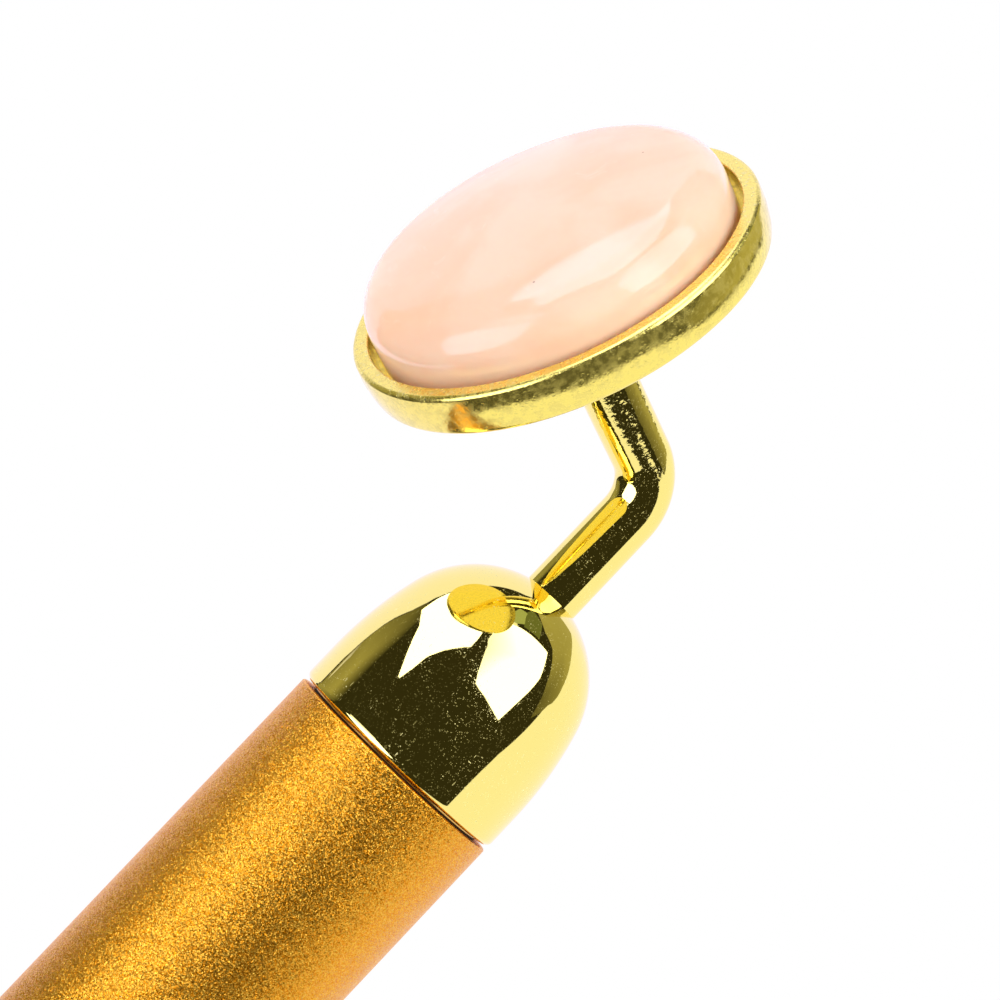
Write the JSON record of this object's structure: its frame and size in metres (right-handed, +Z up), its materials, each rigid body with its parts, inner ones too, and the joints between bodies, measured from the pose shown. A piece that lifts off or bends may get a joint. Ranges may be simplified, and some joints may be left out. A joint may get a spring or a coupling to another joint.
{
  "type": "vibrating beauty bar",
  "caption": "Slim battery-powered facial bar: a round tube handle, a domed twist head with a vibrating motor inside, and a polished stone in a round dish on a bent stem.",
  "frame": {"origin": "centre of the handle's flat tail face, on the handle's axis", "axes": "+X along the handle towards the head, +Z up; the bar lies on a table 8.55 mm below the axis, on its handle and on the dish's back edge, with the bent stem leaning towards +Y"},
  "size_m": [0.1448, 0.0333, 0.0279],
  "materials": {
    "anodised_tube": "satin gold anodised, fine grain",
    "gold_plate": "mirror-polished gold plate",
    "collar_brass": "turned brass",
    "nickel_plate": "nickel-plated",
    "spring_wire": "drawn spring wire",
    "cell_film": "plain shrink film",
    "cell_steel": "nickel-plated steel",
    "cell_filling": "pressed paste",
    "white_nylon": "moulded nylon",
    "dark_nylon": "moulded nylon",
    "seal_rubber": "greased rubber",
    "motor_steel": "drawn and plated steel",
    "ferrite": "ground ferrite",
    "bearing_bronze": "sintered bronze",
    "contact_brass": "stamped brass",
    "wire_sleeve": "red insulation",
    "adhesive": "cured adhesive",
    "pink_stone": "polished rose quartz",
    "core_steel": "stacked steel sheets",
    "copper_wire": "enamelled copper",
    "weight_alloy": "sintered heavy alloy"
  },
  "bodies": {
    "handle": {"handle_tube": "anodised_tube", "tail_cap": "gold_plate", "spring_seat": "nickel_plate", "tail_spring": "spring_wire"},
    "cell": {"cell_wrap": "cell_film", "cell_can": "cell_steel", "cell_core": "cell_filling", "cell_seal": "white_nylon", "cell_base": "cell_steel"},
    "head": {"dome": "gold_plate", "thread_collar": "collar_brass", "seal_ring": "seal_rubber", "motor_cup": "dark_nylon", "motor_can": "motor_steel", "motor_magnets": "ferrite", "motor_bearing": "bearing_bronze", "motor_end_cap": "dark_nylon", "motor_tabs": "contact_brass", "contact_stud": "contact_brass", "feed_wire": "wire_sleeve", "ground_strap": "nickel_plate", "stem": "gold_plate", "stem_nut": "nickel_plate", "dish": "gold_plate", "stone_pad": "adhesive", "stone": "pink_stone"},
    "rotor": {"motor_shaft": "motor_steel", "armature": "core_steel", "windings": "copper_wire", "commutator": "copper_wire", "eccentric_weight": "weight_alloy"}
  },
  "joints": [
    {"name": "cell_slide", "type": "slide", "parent": "handle", "child": "cell", "axis": [1, 0, 0], "range_m": [-0.00025, 0.004], "deforming": ["tail_spring"]},
    {"name": "head_twist", "type": "hinge", "parent": "cell", "child": "head", "pos_m": [0, 0, 0], "axis": [1, 0, 0], "range_deg": [-90, 1440]},
    {"name": "motor_spin", "type": "hinge", "parent": "head", "child": "rotor", "pos_m": [0.0925, 0, 0], "axis": [1, 0, 0], "continuous": true}
  ],
  "couplings": [
    {"joint": "cell_slide", "follows": "head_twist", "m_per_rad": 0.00015915}
  ]
}
